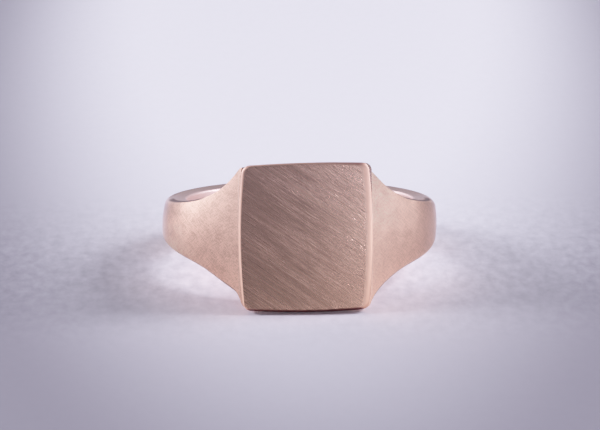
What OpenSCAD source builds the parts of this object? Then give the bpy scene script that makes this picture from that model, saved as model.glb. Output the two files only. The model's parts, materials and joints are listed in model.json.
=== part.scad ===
// Plain signet ring, made up of a face plate, a bezel block, two flared shoulders and a
// half-round hoop, held together by hard solder. It lies on its side: the lower edge of the plate
// and the back of the hoop touch the table. X is across the face, Y runs from the face to the
// back of the hoop, Z is up, and the origin is on the table below the middle of the ring.
// Each metal piece is a radial section carried round the finger bore.

/* [Finger bore] */
// Ring size: the inner circumference in millimetres
ring_size = 57; // [52:1:62]

/* [Hoop] */
// Wall thickness at the two sides
wall_side = 1.93; // [1.6:0.01:2.3]
// Wall thickness at the back
wall_back = 1.7; // [1.3:0.05:2]
// Width of the band
hoop_w = 3.6; // [3:0.1:4.6]
// How far the outside of the band is crowned
crown = 0.22; // [0.05:0.01:0.35]
// Rounding of the outer edges of the band
edge_r = 0.45; // [0.2:0.05:0.6]
// Bevel of the edges at the bore
bore_bevel = 0.2; // [0.1:0.05:0.3]

/* [Bezel] */
// Width of the bezel block at the plate
bezel_w = 10.4; // [9.6:0.1:11.2]
// Height of the bezel block at the plate
bezel_h = 11.1; // [10.4:0.1:12]
// Metal between the bore and the plate at the middle
bezel_t = 2.42; // [2.1:0.01:2.7]
// Corner radius of the bezel block
bezel_corner_r = 0.6; // [0.4:0.05:0.9]
// Height of the bezel block at the bore, where its ends slope in
bezel_bore_h = 8.8; // [8:0.1:9.4]

/* [Shoulders] */
// Length over which the flare falls away
flare_len = 4.25; // [3.2:0.05:5]
// Shape of the flare: 1 is a plain exponential
flare_power = 1.13; // [1:0.01:1.3]
// Length round the bore over which the height of the bore falls away
bore_flare_len = 7; // [5:0.1:8]

/* [Signet plate] */
// Thickness of the plate
plate_t = 0.55; // [0.5:0.01:0.9]
// Width of the face at its middle
face_w = 10.4; // [9.6:0.05:11]
// Height of the face at its middle
face_h = 11.5; // [10.8:0.05:12.2]
// Bow of the left and right sides of the face
side_bow = 0.36; // [0.1:0.02:0.5]
// Bow of the top and bottom sides of the face
end_bow = 0.15; // [0.05:0.01:0.3]
// Corner radius of the face
face_corner_r = 0.55; // [0.45:0.05:0.8]
// Rounding of the crisp left edge, measured across the face
left_edge = 0.24; // [0.1:0.02:0.4]
// Rounding of the softer right edge
right_edge = 0.42; // [0.1:0.02:0.44]
// Rounding of the top and bottom edges
end_edge = 0.25; // [0.1:0.05:0.4]
// Depth of all these roundings
edge_depth = 0.3; // [0.2:0.05:0.45]

/* [Solder] */
// Thickness of the solder joints
film_t = 0.06; // [0.04:0.01:0.1]

/* [Hidden] */
$fn = 96;

gold = [0.80, 0.62, 0.56];
brushed_gold = [0.66, 0.50, 0.46];
solder_gold = [0.78, 0.64, 0.54];

// The finger bore and the outline seen along it
bore_r = ring_size / PI / 2;
bore_cut_over = 2;
bore_cut_l = bezel_h + 2 * bore_cut_over;
side_r = bore_r + wall_side;
back_r = bore_r + wall_back;
bezel_y = bore_r + bezel_t;
bezel_x = bezel_w / 2;
corner_d = norm([bezel_x, bezel_y]);
// Angles from the face: the plate's edge, the end of the straight shoulder, the hoop joint
edge_a = atan2(bezel_x, bezel_y);
tangent_a = edge_a + acos(side_r / corner_d);
hoop_a = 90;
straight_l = side_r * tan(tangent_a - edge_a);

// Half widths of the band: along the hoop, and where a shoulder leaves the plate's edge
hoop_half = hoop_w / 2;
bezel_half = bezel_h / 2;
shoulder_half = bezel_half - bezel_corner_r;

// A solder joint spans a small angle, measured at the outside of the band
film_a = film_t / side_r * 180 / PI;
bezel_end_a = edge_a - film_a / 2;
bezel_end_x = bezel_y * tan(bezel_end_a);

// Steps of the sections: degrees round the band, along half of the bezel block, across half of
// the crown and round the small edges
turn_step = 5;
bezel_steps = 3;
crown_steps = 3;
edge_steps = 4;
// The sections run this far into the bore, which is then cut to its true radius
bore_run = 0.4;
// Edge rounding where the shoulder meets the plate, and the length over which it grows
least_edge_r = 0.06;
edge_blend_l = 2;

// Plate levels: how the straight back outline turns into the bowed face. An odd number of steps
// leaves a short flat in the middle of each side, on which the ring can lie without rocking.
wall_steps = 3;
side_steps = 7;
corner_steps = 5;
round_steps = 5;
file_cut = 0.05;
plate_back_y = bezel_y + film_t;
face_y = plate_back_y + plate_t;

// Distance along the outside of the shoulder from the plate's edge, at angle a from the face
function along(a) =
    a < edge_a ? 0 :
    a < tangent_a ? straight_l - side_r * tan(tangent_a - a) :
    straight_l + side_r * (a - tangent_a) * PI / 180;

// Radius of the outside: flat under the plate, a straight shoulder, then the round hoop
function outer_r(a) =
    a < edge_a ? bezel_y / cos(a) :
    a < tangent_a ? side_r / cos(tangent_a - a) :
    a < hoop_a ? side_r :
    side_r - (side_r - back_r) * pow(sin(a - hoop_a), 2);

// Half width of the outside: the bezel with its round corners, then the falling flare
function bezel_half_at(x) =
    shoulder_half + sqrt(pow(bezel_corner_r, 2) - pow(max(0, x - bezel_end_x + bezel_corner_r), 2));
function outer_half(a) =
    a < bezel_end_a ? bezel_half_at(bezel_y * tan(a)) :
    hoop_half + (shoulder_half - hoop_half) * exp(-pow(along(a) / flare_len, flare_power));

// Half width at the bore, a smooth bell round the face that stays inside the outer half width
function bore_half(a) =
    min(outer_half(a) - least_edge_r,
        hoop_half + (bezel_bore_h / 2 - hoop_half)
            * exp(-pow(bore_r * a * PI / 180 / bore_flare_len, 2)));

// How far the section has turned from the square bezel into the crowned band
function rounded(a) = 1 - exp(-along(a) / edge_blend_l);

// Lower half of the section at angle a, as [radius, height], from inside the bore to the crown.
// The outer edge runs smoothly into the end wall, which leans in towards the bevel at the bore.
function half_section(a) =
    let (r = outer_r(a),
         h = outer_half(a),
         inner_h = bore_half(a),
         c = crown * rounded(a),
         e = least_edge_r + (edge_r - least_edge_r) * rounded(a),
         lean = atan2(h - inner_h, r - e - bore_r - bore_bevel))
    [[bore_r - bore_run, bore_bevel + bore_run - inner_h],
     [bore_r + bore_bevel, -inner_h],
     for (i = [0 : edge_steps])
         let (t = (90 + lean) * (1 - i / edge_steps),
              s = h - e + e * sin(t))
         [r - e + e * cos(t) - c * pow(s / h, 2), -s],
     for (i = [crown_steps - 1 : -1 : 0])
         let (s = (h - e) * i / crown_steps)
         [r - c * pow(s / h, 2), -s]];

// Closed section at angle a: the lower half, then its mirror image back to the bore. The left
// and right sides of the ring are alike, so the angle is counted from the face either way round.
function section(a) =
    let (half = half_section(abs(a) > 180 ? 360 - abs(a) : abs(a)),
         n = len(half))
    [for (p = half) p,
     for (i = [n - 2 : -1 : 0]) [half[i][0], -half[i][1]]];

// A section placed round the bore axis
function placed(a) = [for (p = section(a)) [p[0] * sin(a), -p[0] * cos(a), p[1]]];

// Solid through a list of rings with equal numbers of points
module loft(rings) {
    n = len(rings[0]);
    last = (len(rings) - 1) * n;
    polyhedron(
        points = [for (ring = rings) each ring],
        faces = [
            [for (j = [n - 1 : -1 : 0]) j],
            [for (j = [0 : n - 1]) last + j],
            for (i = [0 : len(rings) - 2], j = [0 : n - 1])
                let (k = (j + 1) % n)
                each [[i * n + j, i * n + k, (i + 1) * n + k],
                      [i * n + j, (i + 1) * n + k, (i + 1) * n + j]]
        ],
        convexity = 6);
}

// Angles from start to end in even steps
function turn(start, end) =
    let (n = max(1, ceil((end - start) / turn_step)))
    [for (i = [0 : n]) start + (end - start) * i / n];

// Part of the band through the sections at these angles, cut to the true finger bore
module band(angles) {
    difference() {
        loft([for (a = angles) placed(a)]);
        cylinder(h = bore_cut_l, r = bore_r, center = true);
    }
}

// Angles of the bezel block's sections, closer together round its corners
bezel_side_xs = concat(
    [for (i = [1 : bezel_steps]) (bezel_end_x - bezel_corner_r) * i / bezel_steps],
    [for (i = [1 : corner_steps]) bezel_end_x - bezel_corner_r * (1 - sin(90 * i / corner_steps))]);
bezel_side_angles = [for (x = bezel_side_xs) atan2(x, bezel_y)];
bezel_angles = concat(
    [for (i = [len(bezel_side_angles) - 1 : -1 : 0]) -bezel_side_angles[i]],
    [0],
    bezel_side_angles);

// Outline of the plate: a rectangle from -left to right and -h to h with round corners, bowed
// sides and its first point inside a corner
function outline(left, right, h, r, bow_x, bow_z) =
    let (corners = [[right, h, 0], [-left, h, 90], [-left, -h, 180], [right, -h, 270]],
         arcs = [for (k = corners, i = [0 : corner_steps])
                     let (t = k[2] + 90 * i / corner_steps)
                     [k[0] - sign(k[0]) * r + r * cos(t), k[1] - sign(k[1]) * r + r * sin(t)]],
         n = len(arcs),
         ring = [for (i = [0 : n - 1])
                     let (p = arcs[i],
                          q = arcs[(i + 1) % n],
                          m = i % (corner_steps + 1) == corner_steps ? side_steps : 1)
                     for (j = [0 : m - 1]) p + (q - p) * j / m])
    [for (i = [0 : len(ring) - 1])
         let (p = ring[(i + floor(corner_steps / 2)) % len(ring)],
              w = p[0] > 0 ? right : left)
         [p[0] - sign(p[0]) * bow_x * pow(p[1] / h, 2) * abs(p[0]) / w,
          p[1] - sign(p[1]) * bow_z * pow(p[0] / w, 2) * abs(p[1]) / h]];

// One level of the plate: f goes from the straight back to the bowed face, and u is the share of
// the edge rounding that has been taken off, at depth y in front of the bore axis
function plate_ring(f, u, y) =
    let (w = bezel_x + f * (face_w / 2 - bezel_x),
         h = bezel_half + f * (face_h - bezel_h) / 2,
         r = bezel_corner_r + f * (face_corner_r - bezel_corner_r))
    [for (p = outline(w - u * left_edge, w - u * right_edge, h - u * end_edge, r,
                      f * side_bow, f * end_bow))
         [p[0], -y, p[1]]];

wall_l = plate_t - edge_depth;
plate_rings = [
    plate_ring(1, 1, face_y + file_cut),
    for (i = [round_steps : -1 : 1])
        let (t = 90 * i / round_steps)
        plate_ring(1, 1 - cos(t), plate_back_y + wall_l + edge_depth * sin(t)),
    for (i = [wall_steps : -1 : 0])
        let (f = i / wall_steps)
        plate_ring(f, 0, plate_back_y + wall_l * f)];

// How the ring lies: the plate's lower edge and the back of the hoop reach the same height.
// Both are looked at in the middle plane of the ring, as [y, z] points.
flat_lift = end_bow * pow((1 - face_corner_r / (face_w / 2)) / side_steps, 2);
flat_z = flat_lift - face_h / 2;
edge_points = [for (i = [0 : round_steps])
                   let (t = 90 * i / round_steps)
                   [-plate_back_y - wall_l - edge_depth * sin(t), flat_z + end_edge * (1 - cos(t))],
               [-bezel_y, -bezel_half]];
back_points = section(180);
function low(points, tilt) = min([for (p = points) p[1] * cos(tilt) - p[0] * sin(tilt)]);
function reach(points, tilt) = [for (p = points) p[0] * cos(tilt) + p[1] * sin(tilt)];
most_tilt = 30;
tilt_search_steps = 40;
function rest_tilt(least, most, n) =
    let (tilt = (least + most) / 2)
    n == 0 ? tilt :
    low(edge_points, tilt) < low(back_points, tilt) ?
        rest_tilt(tilt, most, n - 1) : rest_tilt(least, tilt, n - 1);
tilt = rest_tilt(0, most_tilt, tilt_search_steps);
middle_y = (min(reach(edge_points, tilt)) + max(reach(back_points, tilt))) / 2;
table_z = low(edge_points, tilt);

module lay_down() {
    translate([0, -middle_y, -table_z])
        rotate([-tilt, 0, 0])
            children();
}

module signet_plate() {
    color(brushed_gold)
        lay_down()
            difference() {
                loft(plate_rings);
                translate([-face_w, -face_y - plate_t, -face_h])
                    cube([2 * face_w, plate_t, 2 * face_h]);
            }
}

module plate_solder() {
    color(solder_gold)
        lay_down()
            translate([0, -bezel_y, 0])
                rotate([90, 0, 0])
                    linear_extrude(film_t)
                        polygon(outline(bezel_x, bezel_x, bezel_half, bezel_corner_r, 0, 0));
}

module bezel_block() {
    color(gold)
        lay_down()
            band(bezel_angles);
}

module left_shoulder() {
    color(gold)
        lay_down()
            band(turn(-hoop_a + film_a / 2, -edge_a - film_a / 2));
}

module right_shoulder() {
    color(gold)
        lay_down()
            band(turn(edge_a + film_a / 2, hoop_a - film_a / 2));
}

module hoop() {
    color(gold)
        lay_down()
            band(turn(hoop_a + film_a / 2, 360 - hoop_a - film_a / 2));
}

module joint_film(a) {
    color(solder_gold)
        lay_down()
            band([a - film_a / 2, a + film_a / 2]);
}

module left_bezel_solder() {
    joint_film(-edge_a);
}

module right_bezel_solder() {
    joint_film(edge_a);
}

module left_hoop_solder() {
    joint_film(-hoop_a);
}

module right_hoop_solder() {
    joint_film(hoop_a);
}

signet_plate();
bezel_block();
left_shoulder();
right_shoulder();
hoop();
plate_solder();
left_bezel_solder();
right_bezel_solder();
left_hoop_solder();
right_hoop_solder();
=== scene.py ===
import json
import math
import bpy
import numpy as np
from mathutils import Matrix


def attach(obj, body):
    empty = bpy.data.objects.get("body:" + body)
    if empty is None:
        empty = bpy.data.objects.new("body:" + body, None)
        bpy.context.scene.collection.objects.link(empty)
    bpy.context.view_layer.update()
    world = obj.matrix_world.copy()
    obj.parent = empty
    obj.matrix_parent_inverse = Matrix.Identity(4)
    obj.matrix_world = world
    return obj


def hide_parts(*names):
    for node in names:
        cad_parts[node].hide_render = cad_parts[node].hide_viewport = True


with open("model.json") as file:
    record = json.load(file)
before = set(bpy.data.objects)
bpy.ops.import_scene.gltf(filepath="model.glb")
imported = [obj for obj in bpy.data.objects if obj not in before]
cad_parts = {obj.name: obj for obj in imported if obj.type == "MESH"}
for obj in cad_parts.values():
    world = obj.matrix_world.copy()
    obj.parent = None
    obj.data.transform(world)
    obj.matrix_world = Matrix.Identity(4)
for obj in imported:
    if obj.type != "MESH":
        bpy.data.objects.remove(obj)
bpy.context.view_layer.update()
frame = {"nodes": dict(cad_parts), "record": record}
print("frame loaded,", len(frame["nodes"]), "nodes")

mm = 0.001
mounts = {mount["name"]: mount for mount in frame["record"]["mounts"]}
boreCentre = np.array(mounts["finger_bore"]["pos_m"])
boreAxis = np.array(mounts["finger_bore"]["axis"])
boreRadius = mounts["finger_bore"]["dims"]["r_mm"]
faceCentre = np.array(mounts["signet_face"]["pos_m"])
acrossAxis = np.array([1.0, 0.0, 0.0])
benchAxes = np.stack([acrossAxis, np.cross(boreAxis, acrossAxis), boreAxis])
leanBack = math.atan2(boreAxis[1], boreAxis[2])   # the ring lies on its plate's edge and its hoop


def layDown(points):
    # bench millimetres, with the bore along z and the face towards -y, to metres on the table
    return points @ benchAxes * mm + boreCentre


# Ring body: hoop, shoulders and bezel block are one radial section carried round the bore

bandShape = {                      # millimetres and degrees
    "wallSide": 1.93, "wallBack": 1.7, "hoopWidth": 3.6,
    "crown": 0.22, "leastEdge": 0.06, "edgeBlend": 2.0, "boreEdge": 0.22, "lip": 0.2,
    "bezelWidth": 10.4, "bezelHeight": 11.1, "bezelDepth": 2.42,
    "bezelBoreHeight": 8.8, "boreFlare": 7.0, "skew": -0.007,
    "hoopEdge": 0.6, "hoopEdgeFrom": 60.0, "hoopEdgeTo": 90.0, "backFrom": 105.0, "backTo": 165.0,
    "twistFrom": 42.0, "twistTo": 72.0,
    "upperLeft": {"bow": 0.34, "corner": 0.55, "drop": 0.18, "ease": 2.0, "toe": 0.0, "toeLength": 0.3,
                  "flareLength": 3.6, "flarePower": 1.05, "edgeRadius": 0.12, "hoopEdge": 0.5,
                  "twist": 0.07, "lift": 0.2},
    "upperRight": {"bow": 0.1, "corner": 0.55, "drop": 0.42, "ease": 2.0, "toe": 0.0, "toeLength": 0.3,
                   "flareLength": 3.95, "flarePower": 1.18, "edgeRadius": 0.12, "hoopEdge": 0.75,
                   "twist": 0.0, "lift": 0.2},
    "lowerLeft": {"bow": 0.34, "corner": 0.9, "drop": 1.38, "ease": 1.6, "toe": 0.6, "toeLength": 0.32,
                  "flareLength": 5.67, "flarePower": 1.7, "edgeRadius": 0.45, "hoopEdge": 0.85,
                  "twist": -0.07, "lift": 0.0},
    "lowerRight": {"bow": 0.34, "corner": 0.9, "drop": 0.805, "ease": 1.6, "toe": 0.15, "toeLength": 0.4,
                   "flareLength": 5.3, "flarePower": 1.0, "edgeRadius": 0.45, "hoopEdge": 0.85,
                   "twist": 0.0, "lift": 0.0},
    "rimLine": (42.0, 50.0, 78.0, 90.0), "rimWidth": 0.16,         # lines of painted shade: from, full, fading, to
    "farLine": (92.0, 104.0, 150.0, 165.0), "farDull": 0.7,
    "lowLine": (20.0, 26.0, 84.0, 100.0), "lowWidth": 0.22, "lowDull": 0.8,
    "lineFull": 0.4, "lineEnd": 1.3,                               # shares of a line's width
    "hoopJoint": 90.0, "solder": 0.06,
    "turnStep": 1.0, "sectionPoints": 11, "flatPoints": 24, "cornerPoints": 16,
}
sideRadius = boreRadius + bandShape["wallSide"]
backRadius = boreRadius + bandShape["wallBack"]
bezelY = boreRadius + bandShape["bezelDepth"]
bezelX = bandShape["bezelWidth"] / 2
bezelHalf = bandShape["bezelHeight"] / 2
hoopHalf = bandShape["hoopWidth"] / 2
edgeAngle = math.atan2(bezelX, bezelY)            # the plate's edge, seen from the bore
tangentAngle = edgeAngle + math.acos(sideRadius / math.hypot(bezelX, bezelY))
hoopAngle = math.radians(bandShape["hoopJoint"])
straightLength = sideRadius * math.tan(tangentAngle - edgeAngle)
halfFilm = bandShape["solder"] / sideRadius / 2   # a solder joint's half angle
bezelEndX = bezelY * math.tan(edgeAngle - halfFilm)


def rampUp(value, start, end):
    # smooth step from 0 at start to 1 at end
    way = np.clip((value - start) / (end - start), 0, 1)
    return way ** 2 * (3 - 2 * way)


def alongLine(degrees, line):
    # 0 up to the first angle, 1 from the second to the third, 0 again past the fourth
    start, full, fading, end = line
    return rampUp(degrees, start, full) * (1 - rampUp(degrees, fading, end))


def alongShoulder(turn):
    # length of the outside from the plate's edge: a straight tangent, then an arc of the hoop
    straight = straightLength - sideRadius * np.tan(tangentAngle - np.minimum(turn, tangentAngle))
    arc = straightLength + sideRadius * (turn - tangentAngle)
    return np.where(turn < edgeAngle, 0.0, np.where(turn < tangentAngle, straight, arc))


def outerRadius(turn, height, bow):
    # flat under the plate, a straight shoulder from the plate's bowed edge, then a hoop that thins
    # towards the back
    edgeX = bezelX - bow * (height / bezelHalf) ** 2
    edge = np.arctan2(edgeX, bezelY)
    tangent = edge + np.arccos(np.minimum(sideRadius / np.hypot(edgeX, bezelY), 1))
    flat = bezelY / np.cos(np.minimum(turn, edge))
    straight = sideRadius / np.cos(tangent - np.clip(turn, edge, tangent))
    thin = (sideRadius - backRadius) * np.sin(np.maximum(turn - hoopAngle, 0)) ** 2
    return np.where(turn < edge, flat, np.where(turn < tangent, straight, sideRadius - thin))


def outerHalf(turn, side):
    # half width of the outside: the bezel block, its corners eased down to where the shoulder starts,
    # then hoop + flare * exp(-(length / L) ^ p), with a short toe at the plate's lower corners and a
    # slow lift towards the back
    pastFlat = bezelY * np.tan(np.minimum(turn, edgeAngle)) - bezelEndX + side["corner"]
    inCorner = np.clip(pastFlat / side["corner"], 0, 1)
    fallen = side["drop"] - side["toe"]
    bezel = bezelHalf - fallen + fallen * (1 - inCorner ** side["ease"]) ** (1 / side["ease"])
    fall = np.exp(-(alongShoulder(turn) / side["flareLength"]) ** side["flarePower"])
    toe = side["toe"] * np.exp(-alongShoulder(turn) / side["toeLength"])
    lift = side["lift"] * rampUp(np.degrees(turn), bandShape["hoopEdgeTo"], bandShape["backTo"])
    flare = hoopHalf + (bezelHalf - side["drop"] - hoopHalf) * fall + toe + lift
    return np.where(turn < edgeAngle - halfFilm, bezel, flare)


def boreHalf(turn, outside):
    # half width at the bore: a bell round the face that stays inside the outside
    bell = np.exp(-(boreRadius * turn / bandShape["boreFlare"]) ** 2)
    wide = hoopHalf + (bandShape["bezelBoreHeight"] / 2 - hoopHalf) * bell
    return np.minimum(outside - bandShape["leastEdge"], wide)


def halfSection(turn, side, lineWidth):
    # from the middle of the outside to the middle of the bore, as radius and height: crown, edge,
    # leaning wall, bore edge, bore; and how far each point is on a line along the outer edge
    half, bow = outerHalf(turn, side), side["bow"]
    inner = boreHalf(turn, half)
    degrees = np.degrees(turn)
    grown = 1 - np.exp(-alongShoulder(turn) / bandShape["edgeBlend"])
    crown = bandShape["crown"] * grown
    rounded = rampUp(degrees, bandShape["hoopEdgeFrom"], bandShape["hoopEdgeTo"])
    back = rampUp(degrees, bandShape["backFrom"], bandShape["backTo"])
    hoopEdge = side["hoopEdge"] + (bandShape["hoopEdge"] - side["hoopEdge"]) * back
    edge = side["edgeRadius"] + (hoopEdge - side["edgeRadius"]) * rounded
    edge = bandShape["leastEdge"] + (edge - bandShape["leastEdge"]) * grown
    twist = side["twist"] * rampUp(degrees, bandShape["twistFrom"], bandShape["twistTo"]) * (1 - back)
    boreEdge, lip = bandShape["boreEdge"], bandShape["lip"]
    edgeRadius = outerRadius(turn, half - edge, bow)
    lean = np.arctan2(half - inner, edgeRadius - edge - boreRadius - boreEdge)
    step = np.linspace(0, 1, bandShape["sectionPoints"])[None, :]
    crownHeight = (half - edge) * step
    crownRadius = outerRadius(turn, crownHeight, bow) - crown * (crownHeight / half) ** 2
    edgeTurn = (np.pi / 2 + lean) * step[:, 1:]
    edgeHeight = half - edge + edge * np.sin(edgeTurn)
    outEdgeRadius = edgeRadius - edge + edge * np.cos(edgeTurn) - crown * (edgeHeight / half) ** 2
    outEdgeRadius = outEdgeRadius - twist * edgeHeight
    boreTurn = np.pi / 2 + lean + (np.pi / 2 - lean) * step
    boreEdgeRadius = boreRadius + boreEdge + boreEdge * np.cos(boreTurn)
    boreEdgeHeight = inner - boreEdge + boreEdge * np.sin(boreTurn)
    boreHeight = (inner - boreEdge) * (1 - step[:, 1:])
    lipRadius = outEdgeRadius[:, -1:] * (1 - lip) + boreEdgeRadius[:, :1] * lip
    lipHeight = edgeHeight[:, -1:] * (1 - lip) + boreEdgeHeight[:, :1] * lip
    radii = np.concatenate([crownRadius - twist * crownHeight, outEdgeRadius, lipRadius, boreEdgeRadius,
                            np.full_like(boreHeight, boreRadius)], axis=1)
    heights = np.concatenate([crownHeight, edgeHeight, lipHeight, boreEdgeHeight, boreHeight], axis=1)
    onEdge = np.zeros_like(heights)
    edgeStart = crownHeight.shape[1]
    onEdge[:, edgeStart:edgeStart + edgeHeight.shape[1]] = 1 - rampUp(
        half - edgeHeight, bandShape["lineFull"] * lineWidth, bandShape["lineEnd"] * lineWidth)
    return radii, heights, onEdge


def bandSection(turn):
    # the closed section at each angle: its upper half, and back along its lower half; and how far
    # each point is on a line of painted shade, along the upper edge beside the face, the far upper edge
    # and the lower edge
    onLeft = np.sin(turn)[:, None] < 0
    turn = np.where(turn > np.pi, 2 * np.pi - turn, np.abs(turn))[:, None]
    upper, lower = [{key: np.where(onLeft, bandShape[name + "Left"][key], bandShape[name + "Right"][key])
                     for key in bandShape[name + "Left"]} for name in ("upper", "lower")]
    upperRadii, upperHeights, onUpper = halfSection(turn, upper, bandShape["rimWidth"])
    lowerRadii, lowerHeights, onLower = halfSection(turn, lower, bandShape["lowWidth"])
    radii = np.concatenate([upperRadii, lowerRadii[:, -2:0:-1]], axis=1)
    heights = np.concatenate([upperHeights, -lowerHeights[:, -2:0:-1]], axis=1)
    near, far, under = [alongLine(np.degrees(turn), bandShape[line])
                        for line in ("rimLine", "farLine", "lowLine")]
    onUpper = onUpper * (near + bandShape["farDull"] * far)
    onLower = onLower * under * bandShape["lowDull"]
    return radii, heights, np.concatenate([onUpper, onLower[:, -2:0:-1]], axis=1)


def closedMesh(name, grid):
    # rows of closed rings joined by quads, with a flat end at the first and the last ring
    rows, columns = grid.shape[:2]
    first = np.arange(rows - 1)[:, None] * columns
    here = np.arange(columns)[None, :]
    after = (here + 1) % columns
    quads = np.stack([first + here, first + columns + here, first + columns + after, first + after], axis=-1)
    ends = [list(range(columns)), list(range(rows * columns - 1, (rows - 1) * columns - 1, -1))]
    mesh = bpy.data.meshes.new(name)
    mesh.from_pydata(grid.reshape(-1, 3), [], quads.reshape(-1, 4).tolist() + ends)
    return mesh


sharpAngle = 40.0                  # degrees: where faces meet at more, the edge stays sharp


def finishPiece(name, mesh, node, material):
    mesh.shade_smooth()
    mesh.set_sharp_from_angle(angle=math.radians(sharpAngle))
    mesh.materials.append(material)
    piece = bpy.data.objects.new(name, mesh)
    bpy.context.scene.collection.objects.link(piece)
    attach(piece, "root")
    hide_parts(node)


def addPointValues(mesh, name, values):
    kind = "FLOAT" if values.ndim == 1 else "FLOAT_VECTOR"
    field = "value" if values.ndim == 1 else "vector"
    mesh.attributes.new(name=name, type=kind, domain="POINT").data.foreach_set(field, values.ravel())


def bandMesh(name, turns):
    # the section carried round the bore: x = r sin(turn), y = -r cos(turn), z = height
    radii, heights, dull = bandSection(turns)
    angle = turns[:, None]
    across = radii * np.sin(angle)
    grid = np.stack([across, -radii * np.cos(angle), heights + bandShape["skew"] * across], axis=-1)
    mesh = closedMesh(name, layDown(grid))
    wrapped = np.stack([sideRadius * np.broadcast_to(angle, radii.shape), heights, radii], axis=-1)
    addPointValues(mesh, "satin", wrapped.reshape(-1, 3))
    depth = np.clip((radii - boreRadius) / bandShape["wallBack"], 0, 1)
    # the bore: its own roughness, and a painted paler reflection in the material
    addPointValues(mesh, "polish", 1 - depth.ravel() ** 2)
    # lines of painted shade along the upper and lower edges, where the round edges would reflect dark
    # surroundings
    addPointValues(mesh, "dull", dull.ravel())
    return mesh


# Signet plate: a straight back outline that swells into a bowed, round-edged face

plateShape = {                     # millimetres
    "thickness": 0.55, "width": 10.4, "height": 11.5, "sideBow": 0.36, "endBow": 0.15,
    "topCorner": 0.55, "bottomCorner": 0.65, "cornerTight": 0.35, "leftTaper": 0.16, "rightTaper": 0.08,
    "leftEdge": 0.24, "rightEdge": 0.58, "topLeftEdge": 0.08, "topRightEdge": 0.2, "bottomEdge": 0.27,
    "topDepth": 0.15, "bottomDepth": 0.54, "bottomBevel": 0.95, "footFrom": 0.84, "footLift": 0.075,
    "dome": 0.2, "dish": 0.08, "topLift": 0.22, "topRise": 0.077,
    "topDull": 0.7, "topFade": 3, "footFade": 4, "edgeWear": 1.4, "filmInset": 0.005,
    "wallPoints": 9, "edgePoints": 13, "faceRings": (0.985, 0.03, 26), "filmRings": 3,
}
plateBackY = bezelY + bandShape["solder"]


def outlineSteps(sideSteps=24, cornerSteps=10):
    # a point of a round-cornered box is (sx (w - r) + r cx, sz (h - r) + r cz): sx and sz run
    # along the sides, cx and cz round the corners
    bend = np.linspace(0, np.pi / 2, cornerSteps + 1)[:-1]
    run = np.linspace(1, -1, sideSteps + 1)[:-1]
    one = np.ones_like(run)
    ring = []
    for quarter, (startX, startZ) in enumerate([(1, 1), (-1, 1), (-1, -1), (1, -1)]):
        turned = bend + quarter * np.pi / 2
        ring.append(np.stack([np.full_like(bend, startX), np.full_like(bend, startZ),
                              np.cos(turned), np.sin(turned)]))
        outX, outZ = round(math.cos((quarter + 1) * np.pi / 2)), round(math.sin((quarter + 1) * np.pi / 2))
        alongX = run * startX if outX == 0 else one * startX
        alongZ = run * startZ if outZ == 0 else one * startZ
        ring.append(np.stack([alongX, alongZ, one * outX, one * outZ]))
    return np.concatenate(ring, axis=1)


def backBow():
    # how far the plate's back is drawn in at its corners, round its outline
    sx, sz = outlineSteps()[:2]
    upper = np.where(sx > 0, bandShape["upperRight"]["bow"], bandShape["upperLeft"]["bow"])
    lower = np.where(sx > 0, bandShape["lowerRight"]["bow"], bandShape["lowerLeft"]["bow"])
    return np.where(sz > 0, upper, lower)


def plateOutline(left, right, half, bowX, bowZ, tight=0.0):
    # the round-cornered box with its sides drawn in towards the corners by bow * (way along) ^ 2,
    # and a top that rises to one side
    sx, sz, cx, cz = outlineSteps()
    wide = np.where(sx > 0, right, left)
    corner = np.where(sz > 0, plateShape["topCorner"], plateShape["bottomCorner"] - tight)
    x = sx * (wide - corner) + corner * cx
    z = sz * (half - corner) + corner * cz
    rise = (plateShape["topLift"] + plateShape["topRise"] * x / bezelX) * np.maximum(z, 0) / half
    return (x - np.sign(x) * bowX * (z / half) ** 2 * np.abs(x) / wide,
            z - np.sign(z) * bowZ * (x / wide) ** 2 * np.abs(z) / half + rise)


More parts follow.
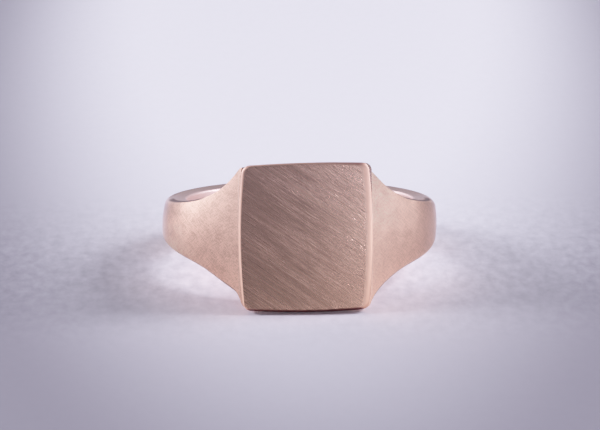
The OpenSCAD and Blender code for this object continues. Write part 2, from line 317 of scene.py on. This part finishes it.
def plateMesh(name):
    # rings from the back outline up a swelling wall, round the edge, and over the domed face to its
    # middle: depth = dome * (1 - (x / half width) ^ 2) + dish * (z / half height) ^ 2
    shape = plateShape
    sx, sz = outlineSteps()[:2]
    cz = outlineSteps()[3]
    fall = (1 - sz) / 2                               # 0 along the top, 1 along the bottom
    toRight = (1 + sx) / 2
    topEdge = shape["topLeftEdge"] + (shape["topRightEdge"] - shape["topLeftEdge"]) * toRight
    endEdge = topEdge + (shape["bottomEdge"] - topEdge) * fall
    edgeDepth = shape["topDepth"] + (shape["bottomDepth"] - shape["topDepth"]) * fall
    wallLength = shape["thickness"] - edgeDepth
    wall = np.linspace(0, 1, shape["wallPoints"])
    bend = np.linspace(0, np.pi / 2, shape["edgePoints"])[1:]
    bevel = np.linspace(0, 1, shape["edgePoints"])[1:, None]
    swell = np.concatenate([wall, np.ones_like(bend)])[:, None]
    upward = np.maximum(cz, 0) ** shape["topFade"]    # 1 along the top, 0 round its corners
    downward = rampUp(-cz, shape["footFrom"], 1.0)    # 1 along the foot, 0 round its corners
    filed = shape["bottomBevel"] * downward           # the round edge gives way to a bevel at the foot
    roundIn, roundUp = 1 - np.cos(bend)[:, None], np.sin(bend)[:, None]
    taken = roundIn + (bevel - roundIn) * filed
    taken = np.concatenate([np.zeros((len(wall), taken.shape[1])), taken])
    depth = wallLength + (roundUp + (bevel - roundUp) * filed) * edgeDepth
    depth = np.concatenate([wall[:, None] * wallLength, depth])
    wide = bezelX + swell * (shape["width"] / 2 - bezelX)
    half = bezelHalf + swell * (shape["height"] / 2 - shape["footLift"] * fall - bezelHalf) - taken * endEdge
    taper = np.where(sx < 0, shape["leftTaper"], shape["rightTaper"]) * (sz < 0)
    bow = backBow() + swell * (shape["sideBow"] - backBow()) - taken * taper
    x, z = plateOutline(wide - taken * shape["leftEdge"], wide - taken * shape["rightEdge"], half,
                        bow, swell * shape["endBow"], taken * shape["cornerTight"])
    y = -(plateBackY + depth)
    inward = np.linspace(*shape["faceRings"])[:, None]
    x = np.concatenate([x, x[-1:] * inward])
    z = np.concatenate([z, z[-1:] * inward])
    y = np.concatenate([y, np.broadcast_to(y[-1:], (len(inward), y.shape[1]))])
    bulge = shape["dome"] * (1 - (x / bezelX) ** 2) + shape["dish"] * (z / bezelHalf) ** 2
    y = y - bulge * np.concatenate([swell, np.ones_like(inward)])
    grid = np.stack([x, y, z], axis=-1)[::-1]
    mesh = closedMesh(name, layDown(grid))
    # the rounded edges: smoother strokes and their own roughness as worn edges, and painted paler as a
    # highlight
    wearAndLightEdge = np.minimum(shape["edgeWear"] * np.sin(2 * bend), 1)
    wearAndLight = np.concatenate([np.zeros_like(wall), wearAndLightEdge, np.zeros(len(inward))])[::-1]
    addPointValues(mesh, "polish", np.repeat(wearAndLight, x.shape[1]))
    # painted shade: the foot's bevel is painted dark as the contact shadow under the plate, and the top edge
    # towards the right is painted dark as a dark reflection
    underEdge = 1 - bevel[:, 0] ** shape["footFade"]
    under = np.concatenate([np.ones_like(wall), underEdge, np.zeros(len(inward))])[::-1, None]
    over = wearAndLight[:, None] * upward * toRight * shape["topDull"]
    addPointValues(mesh, "foot", (under * downward + over).ravel())
    return mesh


# Shader maths: one socket with arithmetic, and one method for every other node

class Wire:
    def __init__(self, tree, socket):
        self.tree = tree
        self.socket = socket

    def node(self, kind, settings=None, sockets=None, out=0):
        made = self.tree.nodes.new(kind)
        for key, value in (settings or {}).items():
            setattr(made, key, value)
        for key, value in (sockets or {}).items():
            if isinstance(value, Wire):
                self.tree.links.new(value.socket, made.inputs[key])
            else:
                made.inputs[key].default_value = value
        return Wire(self.tree, made.outputs[out])

    def math(self, operation, first, second=0.0):
        return self.node("ShaderNodeMath", {"operation": operation}, {0: first, 1: second})

    def __add__(self, other):
        return self.math("ADD", self, other)

    __radd__ = __add__

    def __sub__(self, other):
        return self.math("SUBTRACT", self, other)

    def __rsub__(self, other):
        return self.math("SUBTRACT", other, self)

    def __mul__(self, other):
        return self.math("MULTIPLY", self, other)

    __rmul__ = __mul__

    def __truediv__(self, other):
        return self.math("DIVIDE", self, other)


noiseMiddle = 0.5                  # noise lies evenly round this


def startMaterial(name, constants):
    # a new material: its shader, with the values that are the same all over, and its coordinates
    material = bpy.data.materials.new(name)
    material.use_nodes = True
    tree = material.node_tree
    shader = tree.nodes["Principled BSDF"]
    for key, value in constants.items():
        shader.inputs[key].default_value = value
    coordinates = tree.nodes.new("ShaderNodeTexCoord")
    return material, shader, Wire(tree, coordinates.outputs["Object"])


def feed(shader, name, wire):
    wire.tree.links.new(wire.socket, shader.inputs[name])


def engrave(shader, height, depth):
    # height, from 0 to 1, as a bump of depth millimetres
    feed(shader, "Normal", height.node("ShaderNodeBump", {}, {"Strength": 1.0, "Distance": depth * mm,
                                                              "Height": height}))


def pointValue(place, name, out="Fac"):
    return place.node("ShaderNodeAttribute", {"attribute_name": name}, out=out)


def strokes(place, turn, size, detail=1.0):
    # noise drawn out along strokes: size is a stroke's length, depth and width
    turned = place.node("ShaderNodeMapping", {"vector_type": "TEXTURE"},
                        {"Vector": place, "Rotation": turn, "Scale": size})
    return turned.node("ShaderNodeTexNoise", {"noise_dimensions": "3D"},
                       {"Vector": turned, "Scale": 1.0, "Detail": detail, "Roughness": 0.55})


def remap(wire, start, end, low=0.0, high=1.0, kind="LINEAR"):
    # low where the wire is at start, high where it is at end, and no further
    return wire.node("ShaderNodeMapRange", {"interpolation_type": kind},
                     {"Value": wire, "From Min": start, "From Max": end, "To Min": low, "To Max": high})


def tint(share, first, second):
    # first where share is 0, second where it is 1: each a fixed colour or a wire
    first, second = [colour if isinstance(colour, Wire) else (*colour, 1.0) for colour in (first, second)]
    return share.node("ShaderNodeMix", {"data_type": "RGBA"}, {0: share, 6: first, 7: second}, out=2)


def dim(colour, share):
    return colour.node("ShaderNodeVectorMath", {"operation": "SCALE"}, {0: colour, "Scale": share})


def warmDown(gold, height, look):
    # painted light on the metal's colour: a little cooler towards the top and warmer towards the bottom,
    # standing in for the floor's warm bounce from below
    upness = remap(height, -look["warmReach"], look["warmReach"])
    return gold.node("ShaderNodeVectorMath", {"operation": "MULTIPLY"},
                     {0: gold, 1: tint(upness, look["warm"], look["cool"])})


brushLook = {                      # strokes: angle, then length, depth and width in millimetres
    # foot: the colour of the painted contact shadow along the foot and the painted dark top edge
    "dark": (0.70, 0.415, 0.30), "light": (1.0, 0.625, 0.455), "foot": (0.17, 0.045, 0.05),
    "grain": (36.0, (5.0, 1.0, 0.05)), "band": (35.0, (9.0, 1.0, 0.2)), "bright": (33.0, (5.5, 1.0, 0.07)),
    "deep": (38.0, (4.5, 1.0, 0.065)), "patch": (36.0, (5.0, 1.0, 1.7)), "grit": (36.0, (0.16, 1.0, 0.075)),
    "singleRange": (0.57, 0.70), "patchRange": (0.36, 0.62), "patchStrength": (0.35, 1.0),
    "grainShare": 0.75, "brightShare": 0.55, "deepShare": 0.5, "gritShare": 0.5, "bandShare": 0.45,
    "strength": 1.04, "strongerRight": 0.092, "strongerUp": 0.03, "edgeSmooth": 0.9,
    "cool": (0.98, 1.0, 1.04), "warm": (1.0, 0.985, 0.93), "warmReach": 5.0,
    "middle": 0.46, "topShine": 0.03, "lowShade": 0.03, "edgePale": 0.4,
    "relief": 0.0135, "roughness": 0.27, "roughnessSwing": 0.12, "edgeRoughness": 0.62,
}


def brushedGold():
    # face of the plate: diagonal brush grain, stronger in patches and to the right, with single bright
    # and deep strokes across it, smooth worn edges painted paler as a highlight, painted shade along the
    # foot and the right of the top edge, painted light towards the top and painted shade at the lower right
    look = brushLook
    material, shader, objectPlace = startMaterial("brushedGold", {"Metallic": 1.0})
    face = objectPlace.node("ShaderNodeMapping", {"vector_type": "TEXTURE"},
                            {"Vector": objectPlace, "Location": faceCentre, "Rotation": (-leanBack, 0, 0),
                             "Scale": (mm, mm, mm)})
    grain, band, bright, deep, patch, grit = [
        strokes(face, (0, math.radians(look[key][0]), 0), look[key][1])
        for key in ("grain", "band", "bright", "deep", "patch", "grit")]
    across, along = [face.node("ShaderNodeSeparateXYZ", {}, {"Vector": face}, out=key) for key in "XZ"]
    edge, foot = pointValue(face, "polish"), pointValue(face, "foot")
    single, scored = [remap(line, *look["singleRange"]) for line in (bright, deep)]
    strength = remap(patch, *look["patchRange"], *look["patchStrength"])
    strength = strength * (look["strength"] + across * look["strongerRight"] + along * look["strongerUp"])
    lines = (grain - noiseMiddle) * look["grainShare"] + (grit - noiseMiddle) * look["gritShare"]
    lines = lines + single * look["brightShare"] - scored * look["deepShare"]
    marks = lines * strength + (band - noiseMiddle) * look["bandShare"]
    marks = marks * (1 - edge * look["edgeSmooth"])
    # painted light and shade on the face: paler towards the top by topShine, darker towards the lower right
    # by lowShade
    lowRight = across.math("MAXIMUM", across) * along.math("MINIMUM", along)
    # painted highlight: the rounded edges are painted paler by edgePale
    spread = marks + along * look["topShine"] + lowRight * look["lowShade"] + edge * look["edgePale"]
    gold = warmDown(tint(spread + look["middle"], look["dark"], look["light"]), along, look)
    # painted shade: dark red where the foot attribute is high
    feed(shader, "Base Color", tint(foot, gold, look["foot"]))
    rough = look["roughness"] + (noiseMiddle - grain) * look["roughnessSwing"]
    feed(shader, "Roughness", rough * (1 - edge) + edge * look["edgeRoughness"])
    engrave(shader, marks, look["relief"])
    return material


satinLook = {                      # strokes as above, heights in mm, places round the ring as cosines
    "dark": (0.68, 0.405, 0.285), "light": (0.95, 0.575, 0.408),
    "solderDark": (0.74, 0.49, 0.36), "solderLight": (0.90, 0.61, 0.45),
    # bore and flank: colours of the painted paler reflections in the bore and on the flanks
    "bore": (0.82, 0.60, 0.53), "dull": (0.13, 0.085, 0.075), "flank": (0.86, 0.72, 0.74),
    "hair": (48.0, (2.0, 0.07, 0.2)), "cross": (30.0, (1.3, 0.06, 0.2)), "fine": (-35.0, (0.9, 0.06, 0.2)),
    "cloud": (1.0, 1.0, 1.0), "cloudDetail": 3.0, "grit": (0.1, 0.1, 0.1), "scratchRange": (0.58, 0.70),
    "hairShare": 0.2, "crossShare": 0.2, "fineShare": 0.3, "gritShare": 0.3,
    "scratchShare": 0.13, "shineShare": 0.09,
    "middle": 0.6, "cloudSwing": 1.1, "cloudLeft": 0.9, "lineSwing": 6.6, "lineLeft": 1.5,
    "cool": (0.98, 1.01, 1.03), "warm": (1.0, 0.965, 0.94), "warmReach": 3.0,
    "sideReach": 0.41, "wornRange": (0.46, 0.91), "wear": (-0.4, 0.85),
    "outerRange": (0.4, 0.75), "innerRange": (0.64, 0.8),
    "upperRange": (0.1, 1.2), "lowerRange": (-0.6, -2.2),
    "leftShade": 0.85, "leftLift": 0.25, "lowLift": 0.3, "rightShade": 0.06, "rightLift": 0.32,
    "toneSwing": 0.24, "flankReach": 0.32, "flankShare": 0.75, "dullShare": 0.85,
    "relief": 0.016, "roughness": 0.38, "roughnessSwing": 0.16, "boreRoughness": 0.5, "dullRoughness": 0.3,
}


def satinTone(look, side, cosine, height):
    # painted light and shade: how much paler or darker the satin is painted, paler towards the plate on
    # the right and away from it on the left, darker at the far upper left, paler low on the left and high
    # beside the plate on the right
    wearAndLight = remap(cosine, *look["wornRange"], *look["wear"])
    outer = remap(cosine, *look["outerRange"], 1.0, 0.0)
    inner = remap(cosine, *look["innerRange"])
    upper, lower = remap(height, *look["upperRange"]), remap(height, *look["lowerRange"])
    left = lower * look["lowLift"] + outer * look["leftLift"] - outer * outer * upper * look["leftShade"]
    right = inner * upper * look["rightLift"] - look["rightShade"]
    return wearAndLight * side + (1 - side) * left + (1 + side) * right


def satinGold(name, dark, light):
    # shoulders, hoop, bezel block and solder: fine hairlines and soft mottling, painted light and shade
    # across the shoulders, a painted cool reflection on the flanks, a painted paler reflection in the bore,
    # and lines of painted shade along the upper and lower edges
    look = satinLook
    material, shader, objectPlace = startMaterial(name, {})
    wrapped = pointValue(objectPlace, "satin", "Vector")
    polish, dull = pointValue(objectPlace, "polish"), pointValue(objectPlace, "dull")
    hair, cross, fine = [strokes(wrapped, (0, 0, -math.radians(look[key][0])), look[key][1])
                         for key in ("hair", "cross", "fine")]
    cloud = strokes(wrapped, (0, 0, 0), look["cloud"], look["cloudDetail"])
    grit = strokes(wrapped, (0, 0, 0), look["grit"])
    scratch, shine = [remap(line, *look["scratchRange"]) for line in (hair, cross)]
    lines = hair * look["hairShare"] + cross * look["crossShare"] + fine * look["fineShare"]
    lines = lines + grit * look["gritShare"] - scratch * look["scratchShare"] + shine * look["shineShare"]
    length, height = [wrapped.node("ShaderNodeSeparateXYZ", {}, {"Vector": wrapped}, out=key) for key in "XY"]
    angle = length / sideRadius                       # round the bore: 0 at the face, right side positive
    sine, cosine = angle.math("SINE", angle), angle.math("COSINE", angle)
    side = remap(sine, -look["sideReach"], look["sideReach"], -1.0, 1.0)
    flank = remap(cosine.math("ABSOLUTE", cosine), 0.0, look["flankReach"], look["flankShare"], 0.0,
                  "SMOOTHSTEP")
    spread = (cloud - noiseMiddle) * (look["cloudSwing"] - side * look["cloudLeft"])
    spread = spread + (lines - noiseMiddle) * (look["lineSwing"] - side * look["lineLeft"]) + look["middle"]
    gold = warmDown(tint(spread, dark, light), height, look)
    # painted light and shade: the satin painted paler or darker by place round the ring
    gold = dim(gold, 1 + satinTone(look, side, cosine, height) * look["toneSwing"])
    gold = gold.node("ShaderNodeVectorMath", {"operation": "MINIMUM"}, {0: gold, 1: (1.0, 1.0, 1.0)})
    # painted reflection: the flanks take a cool lavender tint and the bore a paler, greyer one, for the pale
    # floor and backdrop that they reflect
    gold = tint(polish, tint(flank, gold, look["flank"]), look["bore"])
    # painted shade: dark, less metallic and rougher lines along the edges
    feed(shader, "Base Color", tint(dull, gold, look["dull"]))
    feed(shader, "Metallic", 1 - dull * look["dullShare"])
    rough = look["roughness"] + (cloud - noiseMiddle) * look["roughnessSwing"]
    rough = rough * (1 - polish) + polish * look["boreRoughness"]
    feed(shader, "Roughness", rough + dull * look["dullRoughness"])
    engrave(shader, lines * (1 - polish), look["relief"])
    return material


plateGold = brushedGold()
bandGold = satinGold("satinGold", satinLook["dark"], satinLook["light"])
seamGold = satinGold("solderGold", satinLook["solderDark"], satinLook["solderLight"])
print("materials made")

# Metal pieces and the solder between them


def evenTurns(start, end):
    steps = max(2, math.ceil(math.degrees(end - start) / bandShape["turnStep"]))
    return np.linspace(start, end, steps + 1)


def bezelTurns():
    # evenly along the bezel block, closer together round its corners
    corner = bandShape["lowerLeft"]["corner"]
    flat = np.linspace(0, bezelEndX - corner, bandShape["flatPoints"])
    bend = np.sin(np.linspace(0, np.pi / 2, bandShape["cornerPoints"])[1:])
    side = np.arctan2(np.concatenate([flat, bezelEndX - corner + corner * bend]), bezelY)
    return np.concatenate([-side[:0:-1], side])


finishPiece("signetPlate", plateMesh("signetPlate"), "signet_plate", plateGold)
bandPieces = [                     # each with the angles of its sections round the bore
    ("bezelBlock", "bezel_block", bezelTurns()),
    ("leftShoulder", "left_shoulder", evenTurns(-hoopAngle + halfFilm, -edgeAngle - halfFilm)),
    ("rightShoulder", "right_shoulder", evenTurns(edgeAngle + halfFilm, hoopAngle - halfFilm)),
    ("hoopBack", "hoop", evenTurns(hoopAngle + halfFilm, 2 * np.pi - hoopAngle - halfFilm)),
]
for name, node, turns in bandPieces:
    finishPiece(name, bandMesh(name, turns), node, bandGold)
bandFilms = [
    ("leftBezelSolder", "left_bezel_solder", -edgeAngle),
    ("rightBezelSolder", "right_bezel_solder", edgeAngle),
    ("leftHoopSolder", "left_hoop_solder", -hoopAngle),
    ("rightHoopSolder", "right_hoop_solder", hoopAngle),
]
for name, node, joint in bandFilms:
    turns = np.array([joint - halfFilm, joint, joint + halfFilm])
    finishPiece(name, bandMesh(name, turns), node, seamGold)


def plateSolderMesh(name):
    # flat film with the outline of the plate's back, drawn in a little along the crease
    inset = plateShape["filmInset"]
    x, z = plateOutline(bezelX - inset, bezelX - inset, bezelHalf - inset, backBow(), 0.0)
    y = -np.linspace(plateBackY, bezelY, plateShape["filmRings"])[:, None] * np.ones_like(x)
    grid = np.stack([x * np.ones_like(y), y, z * np.ones_like(y)], axis=-1)
    mesh = closedMesh(name, layDown(grid))
    addPointValues(mesh, "satin", grid.reshape(-1, 3))
    for plain in ("polish", "dull"):
        addPointValues(mesh, plain, np.zeros(y.size))
    return mesh


finishPiece("plateSolder", plateSolderMesh("plateSolder"), "plate_solder", seamGold)
print("ring pieces made")

# Pale paper floor with a painted pool of light and a painted glow, soft light from both sides and above, and
# the camera

floorLook = {                      # metres, with the turn in degrees and the mottle's size in millimetres
    "size": 3.0, "roughness": 0.8, "specular": 0.2,
    # pale and shade: the painted pool of light on the paper; glow: the painted light reflected from the ring
    "pale": (0.96, 0.945, 0.99), "shade": (0.27, 0.255, 0.285),
    "middle": (0.0049, 0.0945), "reach": (0.0296, 0.1293), "fade": (0.55, 1.2), "turn": -2.4,
    "glow": (1.0, 0.88, 0.90), "glowMiddle": (0.0, -0.005), "glowReach": (0.0115, 0.0085),
    "glowFade": (0.5, 1.4), "glowShare": 0.5,
    "felt": 0.72, "feltSize": (0.8, 1.5, 0.8), "feltDetail": 4.0, "feltFade": (0.004, 0.02), "feltFar": 0.085,
}


def ovalDistance(place, middle, reach, turn=0.0):
    # distance from the middle of a turned oval, 1 at its edge
    oval = place.node("ShaderNodeMapping", {"vector_type": "TEXTURE"},
                      {"Vector": place, "Location": (*middle, 0), "Rotation": (0, 0, math.radians(turn)),
                       "Scale": (*reach, 1.0)})
    return oval.node("ShaderNodeVectorMath", {"operation": "LENGTH"}, {0: oval}, out="Value")


def floorPaper():
    # pale paper painted darker away from the middle of the table as a painted pool of light, with a
    # painted warm glow under the ring for the light it reflects onto the floor, and a soft mottle that
    # fades to the front and the back
    look = floorLook
    material, shader, objectPlace = startMaterial(
        "floorPaper", {"Roughness": look["roughness"], "Specular IOR Level": look["specular"]})
    # painted pool of light: paler in an oval round the ring, darker away from it
    away = ovalDistance(objectPlace, look["middle"], look["reach"], look["turn"])
    paper = tint(remap(away, *look["fade"], kind="SMOOTHSTEP"), look["pale"], look["shade"])
    # painted glow: a warm pink oval beside the ring for the light the ring reflects onto the floor
    beside = ovalDistance(objectPlace, look["glowMiddle"], look["glowReach"])
    paper = tint(remap(beside, *look["glowFade"], look["glowShare"], 0.0, "SMOOTHSTEP"), paper, look["glow"])
    felt = strokes(objectPlace, (0, 0, 0), [size * mm for size in look["feltSize"]], look["feltDetail"])
    depth = objectPlace.node("ShaderNodeSeparateXYZ", {}, {"Vector": objectPlace}, out="Y")
    sharp = remap(depth.math("ABSOLUTE", depth), *look["feltFade"], 1.0, look["feltFar"])
    feed(shader, "Base Color", dim(paper, 1 + (felt - noiseMiddle) * sharp * look["felt"]))
    return material


floorHalf = floorLook["size"] / 2
floorCorners = [(x * floorHalf, y * floorHalf, 0) for x, y in ((-1, -1), (1, -1), (1, 1), (-1, 1))]
floorMesh = bpy.data.meshes.new("floor")
floorMesh.from_pydata(floorCorners, [], [(0, 1, 2, 3)])
floorMesh.materials.append(floorPaper())
floor = bpy.data.objects.new("floor", floorMesh)
bpy.context.scene.collection.objects.link(floor)


def sideAndUp(backward):
    # the right and the top of a level view that looks against backward
    right = np.cross((0, 0, 1), backward)
    right = right / np.linalg.norm(right)
    return right, np.cross(backward, right)


def aim(thing, place, target):
    backward = (place - target) / np.linalg.norm(place - target)
    turned = np.eye(4)
    turned[:3] = np.stack([*sideAndUp(backward), backward, place], axis=1)
    thing.matrix_world = Matrix(turned)


coolWhite = (0.97, 0.95, 1.16)
worldStrength = 0.125
lights = {                         # place, width and height in metres, watts
    "leftBack": ((-0.272, 0.324, 0.154), (0.24, 0.16), 0.50),
    "leftFar": ((-0.386, 0.223, 0.063), (0.24, 0.12), 0.25),
    "leftLow": ((-0.439, 0.077, 0.063), (0.24, 0.12), 0.30),
    "leftSide": ((-0.416, 0.073, 0.154), (0.24, 0.16), 0.50),
    "leftHigh": ((-0.394, 0.0, 0.218), (0.16, 0.12), 1.62),
    "leftNear": ((-0.439, -0.077, 0.063), (0.24, 0.12), 0.10),
    "rightLow": ((0.439, -0.077, 0.063), (0.24, 0.12), 0.80),
    "rightSide": ((0.439, 0.077, 0.063), (0.24, 0.12), 0.11),
    "rightHigh": ((0.394, 0.0, 0.218), (0.16, 0.12), 0.94),
    "rightTop": ((0.340, 0.060, 0.289), (0.14, 0.12), 1.54),
    "rightFront": ((0.281, -0.334, 0.05), (0.42, 0.16), 0.50),
    "rightNear": ((0.187, -0.402, 0.078), (0.20, 0.16), 0.04),
    "backdrop": ((0.0, 0.9, 0.25), (1.6, 0.5), 0.72),
}
for name, (place, size, watts) in lights.items():
    lamp = bpy.data.lights.new(name, "AREA")
    lamp.shape = "RECTANGLE"
    lamp.size, lamp.size_y = size
    lamp.energy = watts
    lamp.color = coolWhite
    holder = bpy.data.objects.new(name, lamp)
    bpy.context.scene.collection.objects.link(holder)
    aim(holder, np.array(place), np.zeros(3))

world = bpy.data.worlds.new("studio")
world.use_nodes = True
world.node_tree.nodes["Background"].inputs["Color"].default_value = (*coolWhite, 1.0)
world.node_tree.nodes["Background"].inputs["Strength"].default_value = worldStrength
bpy.context.scene.world = world


filmLook = {"white": 1.05, "brightest": 4.0, "steps": 17}


def filmCurve():
    # soft film response: a light of x comes out as white * (1 - exp(-x))
    look = filmLook
    view = bpy.context.scene.view_settings
    view.view_transform = "Standard"
    view.use_curve_mapping = True
    mapping = view.curve_mapping
    mapping.clip_max_x = look["brightest"]
    mapping.clip_max_y = look["white"]
    bright = np.linspace(0, 1, look["steps"]) ** 2 * look["brightest"]
    shown = look["white"] * (1 - np.exp(-bright))
    curve = mapping.curves[3]                         # the one for red, green and blue together
    curve.points[0].location = (bright[0], shown[0])
    curve.points[1].location = (bright[-1], shown[-1])
    for place in zip(bright[1:-1], shown[1:-1]):
        curve.points.new(*place)
    mapping.update()


filmCurve()

cameraSet = {                      # angles in degrees, distance and sensor in mm, the rest in photo pixels
    "azimuth": -2.4, "elevation": 17.5, "distance": 280.0, "sensor": 36.0, "clipStart": 10.0,
    "pixelsPerMm": 12.45, "boreAt": (299.5, 219.7), "image": (600, 430),
}


def makeCamera():
    # looks at the bore's centre from the photograph's side, then turns so that the centre sits at boreAt
    look = cameraSet
    azimuth, elevation = math.radians(look["azimuth"]), math.radians(look["elevation"])
    level = math.cos(elevation)
    back = np.array([math.sin(azimuth) * level, -math.cos(azimuth) * level, math.sin(elevation)])
    right, up = sideAndUp(back)
    place = boreCentre + back * look["distance"] * mm
    offX = (look["image"][0] / 2 - look["boreAt"][0]) / look["pixelsPerMm"]
    offY = (look["boreAt"][1] - look["image"][1] / 2) / look["pixelsPerMm"]
    data = bpy.data.cameras.new("camera")
    data.sensor_width = look["sensor"]
    data.lens = look["pixelsPerMm"] * look["distance"] / look["image"][0] * look["sensor"]
    data.clip_start = look["clipStart"] * mm
    camera = bpy.data.objects.new("camera", data)
    bpy.context.scene.collection.objects.link(camera)
    aim(camera, place, boreCentre + (right * offX + up * offY) * mm)
    bpy.context.scene.camera = camera


makeCamera()
print("floor, lights and camera made")
